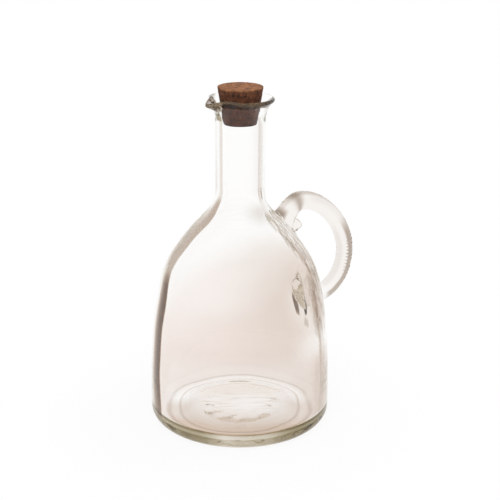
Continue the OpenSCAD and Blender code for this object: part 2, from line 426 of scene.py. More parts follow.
class VesselShape:
    """The blown vessel as a section that is swept round the axis."""

    # Dark ovals in the seal: how far above its middle and to its side, half their size, their depth
    SEAL_MARKS = ((1, 0.6, 11, 3.4, 0.75), (-9.5, 4.9, 5.8, 2.5, 1.5), (-17.5, -3.5, 3.5, 3.5, 0.3))

    def __init__(self, settings):
        v, lip = settings.vessel, settings.lip
        self.v = v
        self.lip = lip
        self.handle = settings.handle
        self.warm_way = settings.glass.warm_way
        self.root_z = v.neck_z - self.handle.root_drop
        self.body_r = v.body_d / 2
        self.neck_r = v.neck_d / 2
        self.bore_r = v.bore_d / 2
        self.crease_z = v.neck_z + v.neck_l
        self.rim_z = self.crease_z + lip.lip_h
        self.foot_r = self.body_r - v.heel_r
        self.punt_r = self.foot_r - v.foot_w
        outside = self.wall(v.heel_r, 0, 0, self.neck_r)
        self.heights, self.radii = outside[:, 1], outside[:, 0]

    def wall(self, z0, t_side, t_shoulder, r_neck):
        """The side and shoulder from the heel at z0 to the straight neck, set in by the glass."""
        v = self.v
        bend_sweep, neck_sweep = 11.3 * MM, 16.9 * MM
        side_steps, shoulder_steps = 52, 38
        lean = np.array([-math.sin(v.bend_lean), math.cos(v.bend_lean)])
        inward = np.array([-math.cos(v.bend_lean), -math.sin(v.bend_lean)])
        start = np.array([self.body_r - t_side, z0])
        bend = np.array([v.bend_d / 2, v.bend_z]) + inward * t_shoulder
        end = np.array([r_neck, v.neck_z])
        up = np.array([0.0, 1.0])
        side = curve(start, start + up * (v.side_sweep - (z0 - v.heel_r)), bend - lean * bend_sweep,
                     bend, side_steps)
        shoulder = curve(bend, bend + lean * v.shoulder_sweep, end - up * neck_sweep, end,
                         shoulder_steps)
        return np.concatenate([side, shoulder[1:]])

    def outer_r(self, z):
        return float(np.interp(z, self.heights, self.radii))

    def on_side(self, z):
        """The point of the outside at a height, as radius and height."""
        return np.array([self.outer_r(z), z])

    def outer_facing(self, z):
        """The way that the outside faces at a height."""
        return unit([1.0, (self.outer_r(z - MM) - self.outer_r(z + MM)) / (2 * MM)])

    def punt_line(self, rise, steps):
        """The step from the flat middle of the punt down to the foot ring, rise above the table."""
        r = np.linspace(self.v.pontil_d / 2, self.punt_r, steps + 1)
        share = (r - r[0]) / (r[-1] - r[0])
        return np.stack([r, rise + self.v.punt_h * (1 + np.cos(np.pi * share)) / 2], -1)

    def outer_line(self):
        v, flare = self.v, 5 * MM
        top = curve([self.neck_r, self.crease_z - flare], [self.neck_r, self.crease_z - flare / 2],
                    [self.neck_r, self.crease_z - MM], [self.lip.crease_d / 2, self.crease_z - 0.4 * MM], 7)
        neck = straight([self.neck_r, v.neck_z], [self.neck_r, self.crease_z - flare], 9)
        return np.concatenate([
            straight([0, v.punt_h], [v.pontil_d / 2, v.punt_h], 11),
            self.punt_line(0.0, 12)[1:],
            straight([self.punt_r, 0], [self.foot_r, 0], 3)[1:],
            arc([self.foot_r, v.heel_r], v.heel_r, -90, 0, 12)[1:],
            self.wall(v.heel_r, 0, 0, self.neck_r)[1:], neck[1:], top[1:]])

    def inner_line(self):
        v, lip = self.v, self.lip
        heel_r = v.heel_r - 1.5 * MM
        trough_r = self.body_r - v.side_t - heel_r
        throat_z = self.crease_z - lip.throat_h
        line = np.concatenate([
            straight([0, v.floor_t + v.punt_h], [v.pontil_d / 2, v.floor_t + v.punt_h], 8),
            self.punt_line(v.floor_t, 10)[1:],
            arc([trough_r, v.floor_t + heel_r], heel_r, -90, 0, 12),
            self.wall(v.floor_t + heel_r, v.side_t, v.shoulder_t, self.bore_r)[1:],
            straight([self.bore_r, v.neck_z], [self.bore_r, throat_z], 8)[1:],
            straight([self.bore_r, throat_z], [lip.throat_d / 2, self.crease_z - 1.2 * MM], 5)[1:]])
        return line[::-1]

    def rim_shift(self, turn):
        """How the rim is moved, outwards and upwards: out at the spout's tip, pinched beside it."""
        lip, a = self.lip, np.abs(from_spout(turn))
        tip = np.exp(-(a / 13) ** 1.6)
        side = hump(a - 34, 19)
        return np.array([lip.spout_out * tip - lip.pinch_in * side * (1 - tip),
                         0.7 * MM * side - lip.spout_drop * tip])

    def lip_line(self, turn):
        """Section of the lip at a turn, from the crease outside over the rim to the throat."""
        lip, shift = self.lip, self.rim_shift(turn)
        crease_r, throat_r = lip.crease_d / 2, lip.throat_d / 2
        foot = np.array([(crease_r + throat_r) / 2, self.crease_z - 2.2 * MM])
        pull = np.array([foot[0] + 0.4 * MM, self.rim_z - lip.lip_h / 2])
        rim = np.array([lip.lip_d - lip.lip_t, 2 * self.rim_z - lip.lip_t]) / 2
        foot_t = crease_r - throat_r - 1.2 * MM

        def middle(t):
            t = np.asarray(t)[:, None]
            return (1 - t) ** 2 * foot + 2 * t * (1 - t) * pull + t * t * (rim + shift)

        t = np.linspace(0.3, 1, 10)
        way = unit(middle(t + 0.01) - middle(t - 0.01))
        normal = np.stack([way[:, 1], -way[:, 0]], -1)
        half = (foot_t / 2 + (lip.lip_t - foot_t) / 2 * t)[:, None]
        out = middle(t) + normal * half
        back = (middle(t) - normal * half)[::-1]
        turn_end = math.degrees(math.atan2(way[-1, 1], way[-1, 0]))
        over = arc(middle([1.0])[0], lip.lip_t / 2, turn_end - 90, turn_end + 90, 8)[1:-1]
        return np.concatenate([out, over, back])

    def pad(self, along, across, size, ridges):
        """Height of a domed leaf of glass pressed on the wall, and how deep the folds along it are."""
        half_l, half_w, high = size[0] / 2, size[1] / 2, size[2]
        taper = np.clip(1 - 0.25 * (along / half_l + 1) / 2, 0.4, 1)
        q = (along / half_l) ** 2 + (across / (half_w * taper)) ** 2
        dome = high * np.sqrt(np.clip(1 - q, 0, 1))
        folds = 0.5 + 0.5 * np.cos(across / (half_w * taper) * math.pi * ridges + along / (7 * MM))
        folds *= 1 - smooth_step(q, 0.75, 1)
        return dome * (1 - 0.3 * folds), folds

    def raise_outside(self, r, z, turn):
        """How far the handle's pads raise the outer skin, and how dark their folds are."""
        across, h = from_handle(turn) * r, self.handle
        pad_drop = 5 * MM
        facing = self.outer_facing(self.root_z - pad_drop)
        slope = np.array([-facing[1], facing[0]])
        centre = self.on_side(self.root_z - pad_drop)
        by_handle = (abs(from_handle(turn)) < 0.6) & (z > 20 * MM)
        along = (r - centre[0]) * slope[0] + (z - centre[1]) * slope[1]
        root_lift, root_folds = self.pad(-along, across, h.root_pad, 3.0)
        seal_lift, _ = self.pad(z - h.seal_z, across, h.seal_pad, 1.5)
        marks = sum(depth * oval(z - h.seal_z - up * MM, across - aside * MM, half_up * MM, half_aside * MM)
                    for up, aside, half_up, half_aside, depth in self.SEAL_MARKS)
        smudge_turn, smudge_z = math.radians(-88), 134 * MM
        smudge = hump(from_handle(turn - smudge_turn) * r, 6.5 * MM) * hump(z - smudge_z, 4.5 * MM)
        return (by_handle * (root_lift + seal_lift),
                by_handle * (0.28 * root_folds + marks) + 0.15 * smudge)

    def inner_r(self, z):
        """Radius of the hollow at a height, without the wander of its wall."""
        line = self.inner_line()[::-1]
        line = line[np.argmax(line[:, 0] > self.body_r - self.v.side_t - 0.1 * MM):]
        return np.interp(z, line[:, 1], line[:, 0])

    def wander(self, z, turn):
        """How far the inner wall is moved in at a height and a turn, by blowing by mouth."""
        v = self.v
        fade = smooth_step(z, v.floor_t + 10 * MM, v.floor_t + 30 * MM) * (
            1 - smooth_step(z, v.bend_z + 10 * MM, v.neck_z - 8 * MM))
        round_wave = np.sin(2 * turn + z / (21 * MM)) + 0.6 * np.sin(3 * turn + z / (14 * MM))
        seal = np.hypot(z - self.handle.seal_z, from_handle(turn) * self.body_r)
        spread = self.handle.seal_pad[0] / 2
        dent = self.handle.dent_in * np.clip(1 - (seal / spread) ** 2, 0, 1)
        swell_z, thin_z = 83 * MM, 36 * MM
        return (v.swell * hump(z - swell_z, 15 * MM) - v.thin * hump(z - thin_z, 11 * MM)
                + v.wave * fade * round_wave + dent)

    def pontil_marks(self, r, z, turn):
        """How far the tool marks under the base raise the skin, mostly round the front."""
        pontil_r, under_rows = self.v.pontil_d / 2, 40
        under = (np.arange(len(r)) < under_rows) * (z > self.v.punt_h - 0.3 * MM) * (
            hump(r - 0.86 * pontil_r, 5 * MM) * (1 - smooth_step(r, pontil_r - MM, pontil_r)))
        marks = (np.sin(5 * turn + r / (1.1 * MM)) * np.cos(7 * turn - r / (1.7 * MM))
                 + 0.6 * np.sin(r / (0.9 * MM) + 2 * np.sin(3 * turn)))
        fade = 0.1 + 0.9 * smooth_step(-np.sin(turn - self.warm_way), -0.35, 0.1)
        return under * self.v.crizzle * marks * fade

    def edge_from(self, r, z, turn):
        """How far the outside must turn from the eye, 0 to 1, before light stays in the wall and the painted
        edge shade begins.
        """
        ratio = np.clip((self.inner_r(z) - self.wander(z, turn)) / np.maximum(r, MM), 0, 0.97)
        return 1 - np.sqrt(1 - ratio ** 2)

    def edge_shade(self, z, turn):
        """How dark the painted shade of that part of the wall is: less at the shoulder and the neck and by
        the handle.
        """
        v = self.v
        low = 1 - 0.67 * smooth_step(z, 90 * MM, 100 * MM)
        neck = smooth_step(z, v.neck_z - 9 * MM, v.neck_z - 3 * MM)
        away = smooth_step((1 - np.cos(turn - self.warm_way)) / 2, 0.35, 0.8)
        least = 0.1 + 0.12 * hump(z - 100 * MM, 10 * MM)
        return (1 - neck) * low * (least + (1 - least) * away) + neck * 0.11 * (z < self.crease_z)

    def skin(self, turn):
        """The whole section at a turn: under the base, up the outside, over the rim, down inside."""
        outer, lip, inner = self.outer_line(), self.lip_line(turn), self.inner_line()
        line = np.concatenate([outer, lip, inner])
        line = eased(line, abs(line[:, 1] - self.crease_z) < 5.5 * MM, 12)
        way = unit(np.gradient(line, axis=0) + 1e-12)
        normals = np.stack([way[:, 1], -way[:, 0]], -1)
        r, z = line.T
        n_out, n_in, throat_rows = len(outer), len(outer) + len(lip), 4
        lift, streaks = np.zeros(len(line)), np.zeros(len(line))
        lift[:n_out], streaks[:n_out] = self.raise_outside(r[:n_out], z[:n_out], turn)
        lift[:n_out] += self.pontil_marks(r[:n_out], z[:n_out], turn)
        lift[n_in:] = self.wander(z[n_in:], turn)
        line = line + normals * lift[:, None]
        line[:, 0] = np.maximum(line[:, 0], 0)
        line[0, 0] = line[-1, 0] = 0
        inside = (np.arange(len(line)) >= n_in - throat_rows).astype(float)
        # edge_from and the depth after it tell the glass where its painted edge shade falls and how dark it
        # is
        return line, {"inside": inside, "streaks": streaks,
                      "edge_from": self.edge_from(r, z, turn) * (1 - inside),
                      "edge_shade": self.edge_shade(z, turn) * (z > self.v.heel_r) * (1 - inside)}


def build_vessel(shape):
    """The vessel as one closed skin, with what its glass needs to know in attributes."""
    turns = turns_round(count=240, fine_span=0.34, fine_share=0.3)
    sections = [shape.skin(turn) for turn in turns]
    made = lathe("vessel_skin", np.array([line for line, _ in sections]), turns)
    for name in ("inside", "streaks", "edge_from", "edge_shade"):
        values = np.array([marks[name] for _, marks in sections])
        flat = np.concatenate([values[:1, 0], values[:, 1:-1].T.ravel(), values[:1, -1]])
        made.data.attributes.new(name, "FLOAT", "POINT").data.foreach_set("value", flat)
    return made


# ------------------------------------------------------------------ handle


def handle_points(shape):
    """The centre line of the rod, from its upper root to its lower seal."""
    h = shape.handle
    root, root_way = shape.on_side(shape.root_z), shape.outer_facing(shape.root_z)
    seal = shape.on_side(h.seal_z)
    arch = root + [h.arch_lead, h.arch_rise]
    grip = np.array([shape.body_r + h.grip_out, h.grip_z])
    tail = np.array([seal[0] + h.tail_lead, h.tail_z])
    sunk = 1.0 * MM
    seal_way = unit([-0.97, 0.25])
    to_grip, to_tail = grip - arch, tail - grip
    line = np.concatenate([
        curve(root - root_way * sunk, root + root_way * h.arch_lead * 0.35,
              arch - [h.arch_lead * 0.55, 0], arch, 40),
        curve(arch, arch + [to_grip[0] * 0.46, 0], grip - [0, to_grip[1] * 0.46], grip, 60)[1:],
        curve(grip, grip + [0, to_tail[1] * 0.62], tail - [to_tail[0] * 0.45, 0], tail, 60)[1:],
        curve(tail, tail - [h.tail_lead / 3, 0], seal + seal_way * sunk * 0.2,
              seal + seal_way * sunk, 20)[1:]])
    return [(x, 0.0, z) for x, z in line]


def rod_tree():
    """Geometry Nodes that sweep a round rod along a curve, with a flared root, a fold and ripples."""
    tree = bpy.data.node_groups.new("Pulled glass rod", "GeometryNodeTree")
    tree.interface.new_socket("Geometry", in_out="OUTPUT", socket_type="NodeSocketGeometry")
    for kind, names in (("Geometry", ("Geometry",)), ("Int", ("Rings", "Sides")), ("Material", ("Material",)),
                        ("Float", ("Rod Radius", "Root Radius", "Seal Radius", "Ripple", "Fold"))):
        for name in names:
            tree.interface.new_socket(name, in_out="INPUT", socket_type="NodeSocket" + kind)

    def marked(shape, name, value, kind="FLOAT"):
        return start.node("GeometryNodeStoreNamedAttribute", {"data_type": kind, "domain": "POINT"},
                          {"Geometry": shape, "Name": name, "Value": value})

    def mark(name, kind="FLOAT"):
        return start.node("GeometryNodeInputNamedAttribute", {"data_type": kind}, {"Name": name})

    start = Wire(tree)
    given = start.node("NodeGroupInput")
    radius, root, seal = given.other("Rod Radius"), given.other("Root Radius"), given.other("Seal Radius")
    line = start.node("GeometryNodeResampleCurve", {}, {"Curve": given, "Count": given.other("Rings")})
    share = start.node("GeometryNodeSplineParameter")
    near_root = share.fall(0.02, 0.34)
    near_seal = share.step(0.86, 1.0)
    flare = share.fall(0.0, 0.07)
    thick = radius + (root - radius) * near_root + flare * (1.4 * MM) + (seal - radius) * near_seal
    ring = start.node("GeometryNodeCurvePrimitiveCircle", {}, {"Resolution": given.other("Sides"),
                                                               "Radius": 1.0})
    line = marked(marked(line, "share", share), "rod", 1.0)
    line = marked(line, "way", start.node("GeometryNodeInputTangent"), "FLOAT_VECTOR")
    swept = start.node("GeometryNodeCurveToMesh", {}, {"Curve": line, "Profile Curve": ring,
                                                       "Scale": thick, "Fill Caps": True})
    along = mark("share")
    normal = start.node("GeometryNodeInputNormal")
    facing_out, facing_side, facing_up = normal.split()
    noise = start.node("ShaderNodeTexNoise", {"noise_dimensions": "4D"}, {
        "Vector": start.node("GeometryNodeInputPosition"), "W": 3.0, "Scale": 110.0, "Detail": 1.0})
    chatter_band = along.bump(GRIP_SHARE, GRIP_SPREAD) * facing_out.step(0.25, 0.8)
    chatter = (along * RIPPLE_PACE + noise * 7.0).function("SINE")
    fold = (along + facing_side * 0.012 - facing_up * 0.018).bump(0.107, 0.018)
    swell = (noise - 0.5) * (0.4 * MM)
    lift = swell + chatter * chatter_band * given.other("Ripple") - fold * given.other("Fold")
    moved = start.node("GeometryNodeSetPosition", {}, {"Geometry": swept, "Offset": normal.scaled(lift)})
    outward = start.node("ShaderNodeVectorMath", {"operation": "CROSS_PRODUCT"},
                         {0: mark("way", "FLOAT_VECTOR"), 1: (0, 1, 0)})
    outer = start.node("ShaderNodeVectorMath", {"operation": "DOT_PRODUCT"}, {0: normal, 1: outward},
                       out="Value")
    moved = marked(marked(moved, "outer", outer), "fold", fold)
    real = start.node("GeometryNodeRealizeInstances", {}, {"Geometry": moved})
    done = start.node("GeometryNodeSetMaterial", {}, {"Geometry": real,
                                                      "Material": given.other("Material")})
    start.end("NodeGroupOutput", Geometry=done)
    return tree


def set_inputs(modifier, values):
    """Sets a Geometry Nodes modifier's inputs by their sockets' identifiers."""
    for item in modifier.node_group.interface.items_tree:
        if item.in_out == "INPUT" and item.name in values:
            modifier[item.identifier] = values[item.name]


def applied(source, name):
    """A plain mesh object of what an object shows once its modifiers have run."""
    graph = bpy.context.evaluated_depsgraph_get()
    mesh = bpy.data.meshes.new_from_object(source.evaluated_get(graph))
    source.modifiers.clear()
    bpy.data.objects.remove(source)
    mesh.name = name
    return shown(name, mesh)


def build_rod(shape, material):
    """The rod of the handle, swept along its centre line."""
    h = shape.handle
    points = handle_points(shape)
    line = bpy.data.curves.new("handle_line", "CURVE")
    line.dimensions = "3D"
    spline = line.splines.new("POLY")
    spline.points.add(len(points) - 1)
    for knot, point in zip(spline.points, points):
        knot.co = (*point, 1.0)
    source = shown("handle_line", line)
    modifier = source.modifiers.new("Rod", "NODES")
    modifier.node_group = rod_tree()
    set_inputs(modifier, {"Rod Radius": h.rod_d / 2, "Root Radius": h.root_d / 2,
                          "Seal Radius": h.rod_d / 2 + 1.2 * MM, "Ripple": h.ripple, "Fold": h.crease,
                          "Rings": 260, "Sides": 40, "Material": material})
    return applied(source, "handle_rod")


def build_curl(shape):
    """The curled end of the glass, folded back between the root and its pad."""
    h, melted = shape.handle, 1.4 * MM
    way = shape.outer_facing(shape.root_z)
    down = np.array([way[1], -way[0]])
    r = h.curl_d / 2
    centre = shape.on_side(shape.root_z) + way * (r + melted) + down * (h.root_d / 2 + r - melted)
    skin = bmesh.new()
    bmesh.ops.create_uvsphere(skin, u_segments=36, v_segments=20, radius=r)
    for vert in skin.verts:
        lean = vert.co.normalized()
        vert.co += lean * (0.35 * MM * math.sin(3 * lean.x + 4 * lean.z))
        vert.co += Vector((centre[0], 0, centre[1]))
    mesh = bpy.data.meshes.new("handle_curl")
    skin.to_mesh(mesh)
    skin.free()
    mesh.attributes.new("rod", "FLOAT", "POINT").data.foreach_set("value", [1.0] * len(mesh.vertices))
    return shown("handle_curl", mesh)


def fuse(body, added):
    """Melts another closed skin into a body and removes it."""
    modifier = body.modifiers.new("Melt", "BOOLEAN")
    modifier.operation = "UNION"
    modifier.solver = "MANIFOLD"
    modifier.object = added
    made = applied(body, body.name)
    bpy.data.objects.remove(added)
    return made


def melt_joints(made, near, rounds):
    """Rounds the sharp inner corners where the handle meets the wall."""
    sharpest, skin = math.radians(-24), bmesh.new()
    skin.from_mesh(made.data)
    bmesh.ops.remove_doubles(skin, verts=skin.verts, dist=0.01 * MM)
    sharp = [edge for edge in skin.edges
             if edge.is_manifold and edge.calc_face_angle_signed(0) < sharpest]
    chosen = {vert for edge in sharp for vert in edge.verts if near(vert.co)}
    for _ in range(2):
        chosen |= {edge.other_vert(vert) for vert in list(chosen) for edge in vert.link_edges
                   if near(edge.other_vert(vert).co)}
    for _ in range(rounds):
        bmesh.ops.smooth_vert(skin, verts=list(chosen), factor=0.5, use_axis_x=True, use_axis_y=True,
                              use_axis_z=True)
    skin.to_mesh(made.data)
    skin.free()


# ------------------------------------------------------------------ cork


def build_cork(settings):
    """The cork, lathed to the solid that it stands for and pitted between its granules."""
    low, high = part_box("cork")
    top_r = (high[0] - low[0]) / 2
    tall = high[2] - low[2]
    bottom_r, edge = 10.15 * MM, 0.7 * MM
    lean = math.degrees(math.atan((top_r - bottom_r) / tall))
    line = np.concatenate([
        straight([0, 0], [bottom_r - edge, 0], 16),
        arc([bottom_r - edge, edge], edge, -90, -lean, 5)[1:],
        straight([bottom_r, edge], [top_r, tall - edge], 56)[1:-1],
        arc([top_r - edge, tall - edge], edge, -lean, 90, 5),
        straight([top_r - edge, tall], [0, tall], 26)[1:]])
    line[:, 1] += low[2]
    turns = np.linspace(0, 2 * np.pi, 200, endpoint=False)
    made = lathe("cork_stopper", np.array([line] * len(turns)), turns)
    pit = bpy.data.textures.new("cork_pits", "VORONOI")
    pit.noise_scale = settings.cork.granule
    pit.distance_metric = "DISTANCE"
    pit.weight_1, pit.weight_2 = -1.0, 1.0
    dig = made.modifiers.new("Pits", "DISPLACE")
    dig.texture = pit
    dig.texture_coords = "LOCAL"
    dig.strength = settings.cork.pit
    dig.mid_level = 1.0
    return applied(made, "cork_stopper")


# ------------------------------------------------------------------ materials


def fresh_wire(holder):
    """A wire to start from, in the emptied node tree of a new material or world."""
    holder.use_nodes = True
    holder.node_tree.nodes.clear()
    return Wire(holder.node_tree)


def seen_directly(start):
    """1 for rays from the camera and for rays that glass or gloss sends on."""
    path = start.node("ShaderNodeLightPath")
    kinds = [path.other(name) for name in ("Is Camera Ray", "Is Glossy Ray", "Is Transmission Ray")]
    return start.math("MAXIMUM", kinds[0], start.math("MAXIMUM", kinds[1], kinds[2]))


class GlassPlace:
    """Where on the glass a ray passes, and how. Lengths are in millimetres."""

    def __init__(self, start, look):
        self.place = start.node("ShaderNodeTexCoord", out="Object")
        x, y, self.z = self.place.scaled(1 / MM).split()
        self.radius = (x * x + y * y).function("SQRT")
        cos, sin = math.cos(look.warm_way), math.sin(look.warm_way)
        self.to_warm = x * cos + y * sin
        self.to_cool = self.to_warm * -1
        self.to_front = x * sin - y * cos
        self.across = self.to_warm / self.radius
        self.way_round = start.vector(x / self.radius, y / self.radius, self.z * 0.009)
        self.on_disc = start.vector(self.to_warm * 0.045, self.to_front * 0.24)
        self.cloud = self.place.noise(22.0, 2.0)
        self.streak = self.place.noise((75.0, 75.0, 9.0), 3.0)
        self.ring = self.place.noise((14.0, 14.0, 420.0), 2.0)
        for name in ("inside", "rod", "share", "outer", "fold", "edge_from", "edge_shade", "streaks"):
            setattr(self, name, start.node("ShaderNodeAttribute", {"attribute_name": name}, out="Fac"))
        self.outside = 1 - self.inside
        self.entering = 1 - start.node("ShaderNodeNewGeometry", out="Backfacing")
        self.facing = start.node("ShaderNodeLayerWeight", {}, {"Blend": 0.5}, out="Facing")
        # painted highlight: a pale patch on the warm side of the body, where the tint and the edge shade are
        # taken out
        self.painted_highlight = self.z.bump(58, 10) * self.to_warm.step(28, 42)


def body_tint(g, look):
    """Clear down to the shoulder, then pale, and warmer towards the handle and low at the back. This is
    painted shade: the warm backdrop seen through the body, lighter low at the front and darker low at the
    back.
    """
    z, to_warm = g.z, g.to_warm
    lean = (g.cloud - 0.5) * 26
    low = z.fall(30, 80)
    side = (1 - low) * (to_warm + lean).step(-36, 30) + low * (0.35 + to_warm.step(-20, 45) * 0.36)
    in_body = (1 - (z - to_warm * 0.5 + lean).step(77, 107)) * (1 - g.rod) * (1 - g.painted_highlight)
    near_low = (g.to_front.step(-5, 10) * z.fall(44, 60) * z.step(12, 18)
                * (1 - (g.across * -1).step(0.72, 0.88)) * (1 - g.across.step(0.5, 0.75) * 0.85)
                * (0.5 + g.to_cool.step(10, 26) * (0.4 - z.step(28, 40) * 0.5)))
    far_low = (g.outside * g.to_front.fall(-10, 5) * z.step(4, 8) * 0.2
               * (1 - (z - to_warm.function("ABSOLUTE") * 0.4).step(8, 20)))
    tint = (in_body * (1 - near_low)).mix(look.clear, side.mix(look.pale, look.warm))
    return (far_low + z.bump(72, 18) * (1 - g.rod) * 0.14).stain(tint, look.warm)


def floor_tint(g, look, tint):
    """The tint with that of the floor in it, with painted shade towards the front and painted highlights in
    the middle, and the depth of the painted shade in rings and streaks on the floor.
    """
    to_front, radius = g.to_front, g.radius
    on_floor = g.inside * g.z.fall(9, 13) * radius.fall(45.5, 47)
    # painted highlight: a bright spot and white streaks in the middle of the floor; painted shade: the floor
    # darker and browner towards the front
    shine = g.to_warm.bump(8, 14) * to_front.bump(9, 12)
    front_shade = (to_front.step(12, 40) * 0.6 + radius.step(16, 36) * to_front.step(-9, 6) * (
        0.45 + g.to_warm.step(5, 35) * 0.15 + g.to_cool.step(10, 30) * 0.3)) * (1 - shine * 0.6)
    glint_noise = g.on_disc.noise(1.0, 2.0)
    in_middle = to_front.bump(6, 10) * (1 - g.to_warm.function("ABSOLUTE").step(17, 28))
    white = (0.35 + glint_noise.step(0.46, 0.6) * 0.65) * in_middle
    core = (1 - (radius + (g.cloud - 0.5) * 9).step(19, 29)) * (1 - white) * (1 - shine)
    tint = on_floor.mix(tint, front_shade.mix(core.mix((1.0, 1.0, 1.0), look.middle), look.floor))
    in_punt = g.outside * g.z.fall(4.5, 5) * radius.fall(40, 44)
    # painted shade: dark rings round the floor and dark streaks in its middle
    wobbly_radius = radius + (g.cloud - 0.5) * 5
    outer_ring_r, inner_ring_r = 45, 38.2
    ring_shade = on_floor * (wobbly_radius.bump(outer_ring_r, 1.2) * 0.18 + wobbly_radius.bump(inner_ring_r, 0.8) * 0.2
                        + glint_noise.fall(0.34, 0.46) * in_middle * 0.2)
    return in_punt.mix(tint, look.clear), ring_shade


def heel_tint_and_shade(g):
    """How deep the olive of the heel is, a real tint of thick glass: painted shade makes it least in mid
    front, with painted darker and lighter lines that run round it.
    """
    off_middle_shade = g.to_cool.step(7, 26) * 0.52 + g.to_warm.step(-12, 10) * 0.12 + g.to_warm.step(14, 38) * 0.66
    lines = g.z.bump(10.8, 1.0) * 0.5 + g.z.bump(7.4, 0.8) * 0.15 - g.z.bump(9.4, 0.6) * 0.2
    return (g.outside * g.z.fall(11.0, 12.2) * g.radius.step(42, 45)
            * (0.13 + off_middle_shade) * (0.55 + g.ring * 0.9 + lines))


def wall_shade(g):
    """How deep the painted shade is where light stays in the wall, and along the side by the handle."""
    turned = g.facing + (g.streak - 0.5) * 0.04
    high, in_neck = g.z.step(95, 110), g.z.step(134, 146)
    edge = (turned.step(g.edge_from - 0.035, g.edge_from)
            * g.facing.fall(g.edge_from + high * 0.06 - in_neck * 0.05 + 0.035,
                                 g.edge_from + high * 0.2 - in_neck * 0.27 + 0.245)
            * g.edge_shade * (1 - g.z.fall(12, 32) * 0.3))
    line = (turned - g.edge_from).bump(0.02, 0.025) * g.z.step(40, 60) * g.z.fall(112, 124) * 0.17
    broad = (g.facing.step(0.42, 0.6) * g.z.fall(92, 106)
             * (g.z.step(10, 14) - g.painted_highlight * 1.2) * 0.1)
    return edge + (line + broad) * (0.4 + g.streak * 1.2) * by_handle(g)


def by_handle(g):
    """1 on the outside of the wall on the handle's side."""
    return g.across.step(0.55, 0.85) * g.outside * (1 - g.rod)


def pulled_depth(g):
    """How deep the streaks are that the handle pulled into the side."""
    pulled = g.way_round.noise(17.0, 2.5).step(0.46, 0.58)
    return pulled * g.facing.step(g.edge_from - 0.1, g.edge_from - 0.02) * (
        g.z.step(52, 66) * g.z.fall(126, 133) * 0.24) * by_handle(g)


def lip_shade(g, crease_z):
    """How deep the painted shade in the lip is: strongest in the spout, along the front of the rim."""
    in_front, over = g.to_front.step(-2, 4), g.z - crease_z
    spout = g.to_cool.step(9.5, 11.5) * in_front + g.to_cool.step(14, 17) * (1 - in_front)
    ends = (spout * 0.75 + g.to_warm.step(13, 17) * in_front * 0.5) * (0.2 + g.ring * 1.6)
    return over.step(2, 4.5) * (ends + over.step(5.2, 6.7) * in_front * (1 - spout) * (0.9 + g.ring * 0.8))


def neck_shade(g, neck_z, crease_z):
    """How deep the painted shade is in the upright lines of the neck, which fade upwards."""
    on_right = g.across.step(-0.3, 0.3)
    in_tube = g.outside * g.z.step(neck_z - 6, neck_z + 2) * g.z.fall(crease_z - 6, crease_z - 2)
    return in_tube * (on_right * (g.facing.bump(0.52, 0.07) * 0.12 + g.facing.bump(0.28, 0.12) * 0.04)
                      + g.facing.bump(0.8, 0.15) * (1.2 - on_right) * (
                          0.05 + g.z.fall(neck_z, neck_z + 30) * 0.12))


def rod_streaks_and_shade(g):
    """How deep the streaks in the handle are: painted shade in bands along it, along its inner side and round
    its curl, and ticks on the grip, its fold and a knot at its root end, which are its own marks, darkened as
    painted shade.
    """
    share, outer = g.share, g.outer
    grip = share.step(0.40, 0.52) * share.fall(0.86, 0.9)
    off_grip = 1 - grip
    ticks = (share * RIPPLE_PACE + g.cloud * 9.0 + g.ring * 6.0).function("SINE").step(0.0, 0.8)
    # painted shade: dark bands along the sides of the rod
    band = (outer.step(-0.35, -0.05) * grip * 0.5
            + outer.step(0.6 + share.fall(0.06, 0.2) * 0.2, 1.0) * off_grip * (
                share.step(0.04, 0.16) * 0.2 + 0.1)
            + outer.step(-0.3, 0.5) * off_grip * share.step(0.16, 0.22) * 0.06)
    inner_edge_shade = (outer * -1).step(0.65, 0.95) * (0.02 + grip * 0.06)
    # painted shade: the outline of the curl
    curl = share.fall(0.0, 0.002) * g.facing.step(0.4, 0.85) * 0.35
    knot = share.fall(0.03, 0.075) * share.step(0.0, 0.004) * outer.step(0.4, 0.8) * 0.7
    ticks = ticks * share.bump(GRIP_SHARE, GRIP_SPREAD) * outer.bump(-0.3, 0.14) * 0.4
    return g.rod * (0.7 + g.streak * 0.6) * (band + inner_edge_shade + curl + knot + g.fold * 0.45 + ticks)


